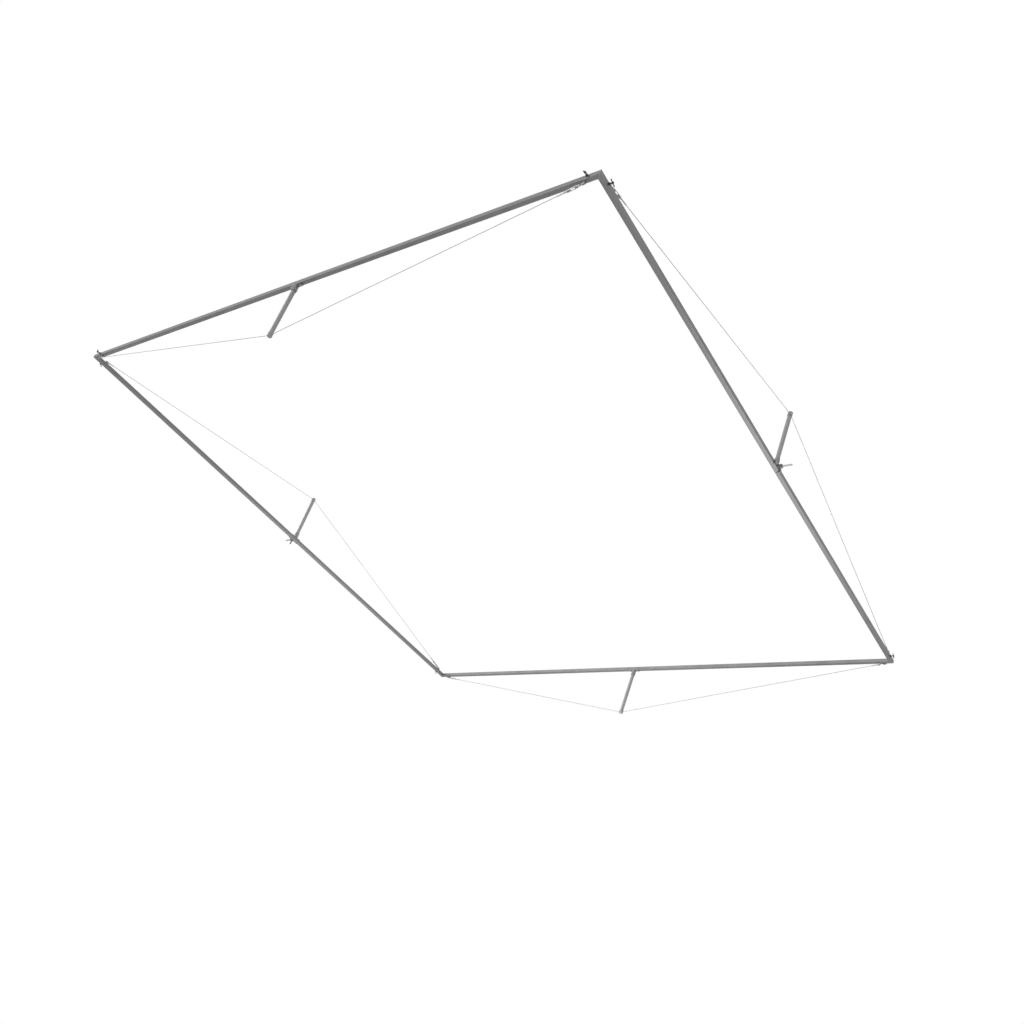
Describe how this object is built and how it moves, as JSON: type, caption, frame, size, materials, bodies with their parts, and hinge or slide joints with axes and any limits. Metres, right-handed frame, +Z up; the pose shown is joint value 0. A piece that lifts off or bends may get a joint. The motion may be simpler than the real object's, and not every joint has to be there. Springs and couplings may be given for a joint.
{
  "type": "butterfly frame",
  "caption": "Square overhead frame of aluminium tube for a cloth; each side is stiffened by a post and a wire, and it tilts on studs between stands.",
  "frame": {"origin": "middle of the square frame, on the line through its two studs", "axes": "+X along the studs to the right side, +Z up; the frame is tilted 31 degrees about X from level, its high side towards -Y"},
  "size_m": [6.4028, 5.6099, 3.7195],
  "materials": {
    "rail_aluminium": "satin grey, drawn square tube",
    "corner_aluminium": "satin grey, welded and dressed",
    "splice_aluminium": "mill finish",
    "welded_aluminium": "satin grey, machined and welded",
    "post_aluminium": "satin grey, drawn round tube",
    "post_head_aluminium": "satin grey, turned",
    "wire_rope": "galvanised wire rope",
    "rigging_steel": "polished stainless rigging steel",
    "lock_screw_black": "blackened forged steel, satin",
    "boss_black": "black painted steel, satin",
    "ear_aluminium": "sand cast, tumbled, satin grey",
    "stud_steel": "turned steel, bright zinc",
    "fastener_zinc": "zinc plated steel"
  },
  "bodies": {
    "studs": {"left_stud": "stud_steel", "right_stud": "stud_steel"},
    "frame": {"high_left_corner": "corner_aluminium", "high_right_corner": "corner_aluminium", "low_right_corner": "corner_aluminium", "low_left_corner": "corner_aluminium", "high_rail_left": "rail_aluminium", "high_rail_right": "rail_aluminium", "right_rail_low": "rail_aluminium", "right_rail_high": "rail_aluminium", "low_rail_right": "rail_aluminium", "low_rail_left": "rail_aluminium", "left_rail_high": "rail_aluminium", "left_rail_low": "rail_aluminium", "high_splice": "splice_aluminium", "right_splice": "splice_aluminium", "low_splice": "splice_aluminium", "left_splice": "splice_aluminium", "high_post_socket": "welded_aluminium", "right_post_socket": "welded_aluminium", "low_post_socket": "welded_aluminium", "left_post_socket": "welded_aluminium", "high_post": "post_aluminium", "right_post": "post_aluminium", "low_post": "post_aluminium", "left_post": "post_aluminium", "high_post_head": "post_head_aluminium", "right_post_head": "post_head_aluminium", "low_post_head": "post_head_aluminium", "left_post_head": "post_head_aluminium", "high_wire": "wire_rope", "right_wire": "wire_rope", "low_wire": "wire_rope", "left_wire": "wire_rope", "left_ear": "ear_aluminium", "right_ear": "ear_aluminium", "lock_screw_bosses": "boss_black", "anchor_lugs": "welded_aluminium", "anchor_pins": "rigging_steel", "fork_terminals": "rigging_steel", "jaw_screws": "rigging_steel", "stud_terminals": "rigging_steel", "lock_nuts": "rigging_steel", "middle_screws": "fastener_zinc", "post_bolts": "fastener_zinc", "post_nuts": "fastener_zinc"},
    "high_left_lock_screw": {"high_left_lock_screw": "lock_screw_black"},
    "high_right_lock_screw": {"high_right_lock_screw": "lock_screw_black"},
    "right_low_lock_screw": {"right_low_lock_screw": "lock_screw_black"},
    "right_high_lock_screw": {"right_high_lock_screw": "lock_screw_black"},
    "low_right_lock_screw": {"low_right_lock_screw": "lock_screw_black"},
    "low_left_lock_screw": {"low_left_lock_screw": "lock_screw_black"},
    "left_high_lock_screw": {"left_high_lock_screw": "lock_screw_black"},
    "left_low_lock_screw": {"left_low_lock_screw": "lock_screw_black"},
    "left_ear_lock_screw": {"left_ear_lock_screw": "lock_screw_black"},
    "right_ear_lock_screw": {"right_ear_lock_screw": "lock_screw_black"},
    "high_turnbuckle": {"high_turnbuckle": "rigging_steel"},
    "right_turnbuckle": {"right_turnbuckle": "rigging_steel"},
    "low_turnbuckle": {"low_turnbuckle": "rigging_steel"},
    "left_turnbuckle": {"left_turnbuckle": "rigging_steel"}
  },
  "joints": [
    {"name": "frame_tilt", "type": "hinge", "parent": "studs", "child": "frame", "pos_m": [0, 0, 0], "axis": [1, 0, 0], "continuous": true},
    {"name": "high_left_lock_screw_turn", "type": "hinge", "parent": "frame", "child": "high_left_lock_screw", "pos_m": [-2.958, -2.6555, 1.59559], "axis": [0, -0.8572, 0.515], "range_deg": [0, 450]},
    {"name": "high_right_lock_screw_turn", "type": "hinge", "parent": "frame", "child": "high_right_lock_screw", "pos_m": [2.958, -2.6555, 1.59559], "axis": [0, -0.8572, 0.515], "range_deg": [0, 450]},
    {"name": "right_low_lock_screw_turn", "type": "hinge", "parent": "frame", "child": "right_low_lock_screw", "pos_m": [3.098, 2.5355, -1.52348], "axis": [1, 0, 0], "range_deg": [0, 450]},
    {"name": "right_high_lock_screw_turn", "type": "hinge", "parent": "frame", "child": "right_high_lock_screw", "pos_m": [3.098, -2.5355, 1.52348], "axis": [1, 0, 0], "range_deg": [0, 450]},
    {"name": "low_right_lock_screw_turn", "type": "hinge", "parent": "frame", "child": "low_right_lock_screw", "pos_m": [2.958, 2.6555, -1.59559], "axis": [0, 0.8572, -0.515], "range_deg": [0, 450]},
    {"name": "low_left_lock_screw_turn", "type": "hinge", "parent": "frame", "child": "low_left_lock_screw", "pos_m": [-2.958, 2.6555, -1.59559], "axis": [0, 0.8572, -0.515], "range_deg": [0, 450]},
    {"name": "left_high_lock_screw_turn", "type": "hinge", "parent": "frame", "child": "left_high_lock_screw", "pos_m": [-3.098, -2.5355, 1.52348], "axis": [-1, 0, 0], "range_deg": [0, 450]},
    {"name": "left_low_lock_screw_turn", "type": "hinge", "parent": "frame", "child": "left_low_lock_screw", "pos_m": [-3.098, 2.5355, -1.52348], "axis": [-1, 0, 0], "range_deg": [0, 450]},
    {"name": "left_ear_lock_screw_turn", "type": "hinge", "parent": "frame", "child": "left_ear_lock_screw", "pos_m": [-3.09305, -0.02575, -0.04286], "axis": [0, -0.515, -0.8572], "range_deg": [0, 450]},
    {"name": "right_ear_lock_screw_turn", "type": "hinge", "parent": "frame", "child": "right_ear_lock_screw", "pos_m": [3.09305, -0.02575, -0.04286], "axis": [0, -0.515, -0.8572], "range_deg": [0, 450]},
    {"name": "high_turnbuckle_turn", "type": "hinge", "parent": "frame", "child": "high_turnbuckle", "pos_m": [2.936, -2.63224, 1.53722], "axis": [-0.9827, -0.0955, -0.1589], "continuous": true},
    {"name": "right_turnbuckle_turn", "type": "hinge", "parent": "frame", "child": "right_turnbuckle", "pos_m": [3.048, -2.49705, 1.54477], "axis": [0, 0.9378, -0.3472], "continuous": true},
    {"name": "low_turnbuckle_turn", "type": "hinge", "parent": "frame", "child": "low_turnbuckle", "pos_m": [-2.936, 2.59305, -1.60245], "axis": [0.9827, -0.0955, -0.1589], "continuous": true},
    {"name": "left_turnbuckle_turn", "type": "hinge", "parent": "frame", "child": "left_turnbuckle", "pos_m": [-3.048, 2.53624, -1.47954], "axis": [0, -0.7468, 0.665], "continuous": true}
  ]
}
